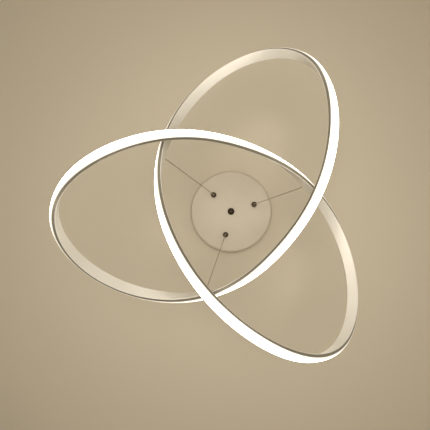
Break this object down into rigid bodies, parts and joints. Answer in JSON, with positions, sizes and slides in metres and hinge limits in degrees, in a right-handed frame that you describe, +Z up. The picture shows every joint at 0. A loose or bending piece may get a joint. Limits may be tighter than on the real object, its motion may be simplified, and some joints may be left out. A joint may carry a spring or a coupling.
{
  "type": "led ring chandelier",
  "caption": "Pendant ceiling light: one closed, lit band bent into a three-lobed knot, hung by thin wires from a shallow round canopy.",
  "frame": {"origin": "centre of the ceiling mount, in the plane of the ceiling", "axes": "+Z up into the ceiling, square to it; +X along the ceiling bracket; the knot hangs below at negative Z"},
  "size_m": [0.5525, 0.5929, 0.4521],
  "materials": {
    "canopy_paint": "satin warm off-white paint, the tone of the ceiling round it",
    "band_paint": "extruded aluminium, satin cream-white powder coat",
    "opal_diffuser": "opal diffuser, evenly lit warm white",
    "dark_bronze": "near-black bronze, semi-gloss",
    "zinc_steel": "zinc-plated steel",
    "spring_steel": "bright spring steel",
    "wire_jacket": "thin grey-brown jacket over a stranded steel wire",
    "rubber_seal": "matt black rubber",
    "driver_plastic": "fine-textured white plastic",
    "circuit_board": "green solder mask with plain components",
    "terminal_plastic": "smooth off-white plastic",
    "brass_screw": "plain brass",
    "grey_lead": "grey cable sheath",
    "earth_jacket": "green-yellow lead insulation",
    "red_jacket": "red lead insulation",
    "black_jacket": "black lead insulation",
    "strip_white": "white flexible circuit strip",
    "led_phosphor": "yellow phosphor LED chips, lit"
  },
  "bodies": {
    "canopy": {"ceiling_bracket": "zinc_steel", "center_stud": "zinc_steel", "stud_lock_nut": "zinc_steel", "canopy_cover": "canopy_paint", "cover_washer": "rubber_seal", "cap_nut": "dark_bronze", "driver_case": "driver_plastic", "driver_lid": "driver_plastic", "driver_board": "circuit_board", "driver_nuts": "zinc_steel", "terminal_block": "terminal_plastic", "terminal_screws": "brass_screw", "mains_lead": "grey_lead", "earth_lead": "earth_jacket", "feed_lead_1": "red_jacket", "feed_lead_2": "black_jacket", "earth_screw": "brass_screw", "gripper_body_1": "dark_bronze", "gripper_body_2": "dark_bronze", "gripper_body_3": "dark_bronze", "gripper_nut_1": "zinc_steel", "gripper_nut_2": "zinc_steel", "gripper_nut_3": "zinc_steel", "gripper_spring_1": "spring_steel", "gripper_spring_2": "spring_steel", "gripper_spring_3": "spring_steel", "wire_tail_1": "wire_jacket", "wire_tail_2": "wire_jacket", "wire_tail_3": "wire_jacket", "suspension_wire_1": "wire_jacket", "suspension_wire_2": "wire_jacket", "suspension_wire_3": "wire_jacket"},
    "knot": {"channel_1": "band_paint", "channel_2": "band_paint", "channel_3": "band_paint", "diffuser_1": "opal_diffuser", "diffuser_2": "opal_diffuser", "diffuser_3": "opal_diffuser", "led_strip_1": "strip_white", "led_strip_2": "strip_white", "led_strip_3": "strip_white", "led_chips": "led_phosphor", "splice_pins": "zinc_steel", "wire_terminal_1": "band_paint", "wire_terminal_2": "band_paint", "wire_terminal_3": "band_paint"},
    "sleeve_1": {"release_sleeve_1": "dark_bronze", "gripper_balls_1": "spring_steel"},
    "sleeve_2": {"release_sleeve_2": "dark_bronze", "gripper_balls_2": "spring_steel"},
    "sleeve_3": {"release_sleeve_3": "dark_bronze", "gripper_balls_3": "spring_steel"}
  },
  "joints": [
    {"name": "height_adjust", "type": "slide", "parent": "canopy", "child": "knot", "axis": [0, 0, 1], "range_m": [0, 0.18], "deforming": ["suspension_wire_1", "suspension_wire_2", "suspension_wire_3"]},
    {"name": "sleeve_press_1", "type": "slide", "parent": "canopy", "child": "sleeve_1", "axis": [0, 0, 1], "range_m": [0, 0.002], "stiffness_N_per_m": 400, "springref_m": -0.002, "deforming": ["gripper_spring_1"]},
    {"name": "sleeve_press_2", "type": "slide", "parent": "canopy", "child": "sleeve_2", "axis": [0, 0, 1], "range_m": [0, 0.002], "stiffness_N_per_m": 400, "springref_m": -0.002, "deforming": ["gripper_spring_2"]},
    {"name": "sleeve_press_3", "type": "slide", "parent": "canopy", "child": "sleeve_3", "axis": [0, 0, 1], "range_m": [0, 0.002], "stiffness_N_per_m": 400, "springref_m": -0.002, "deforming": ["gripper_spring_3"]}
  ]
}
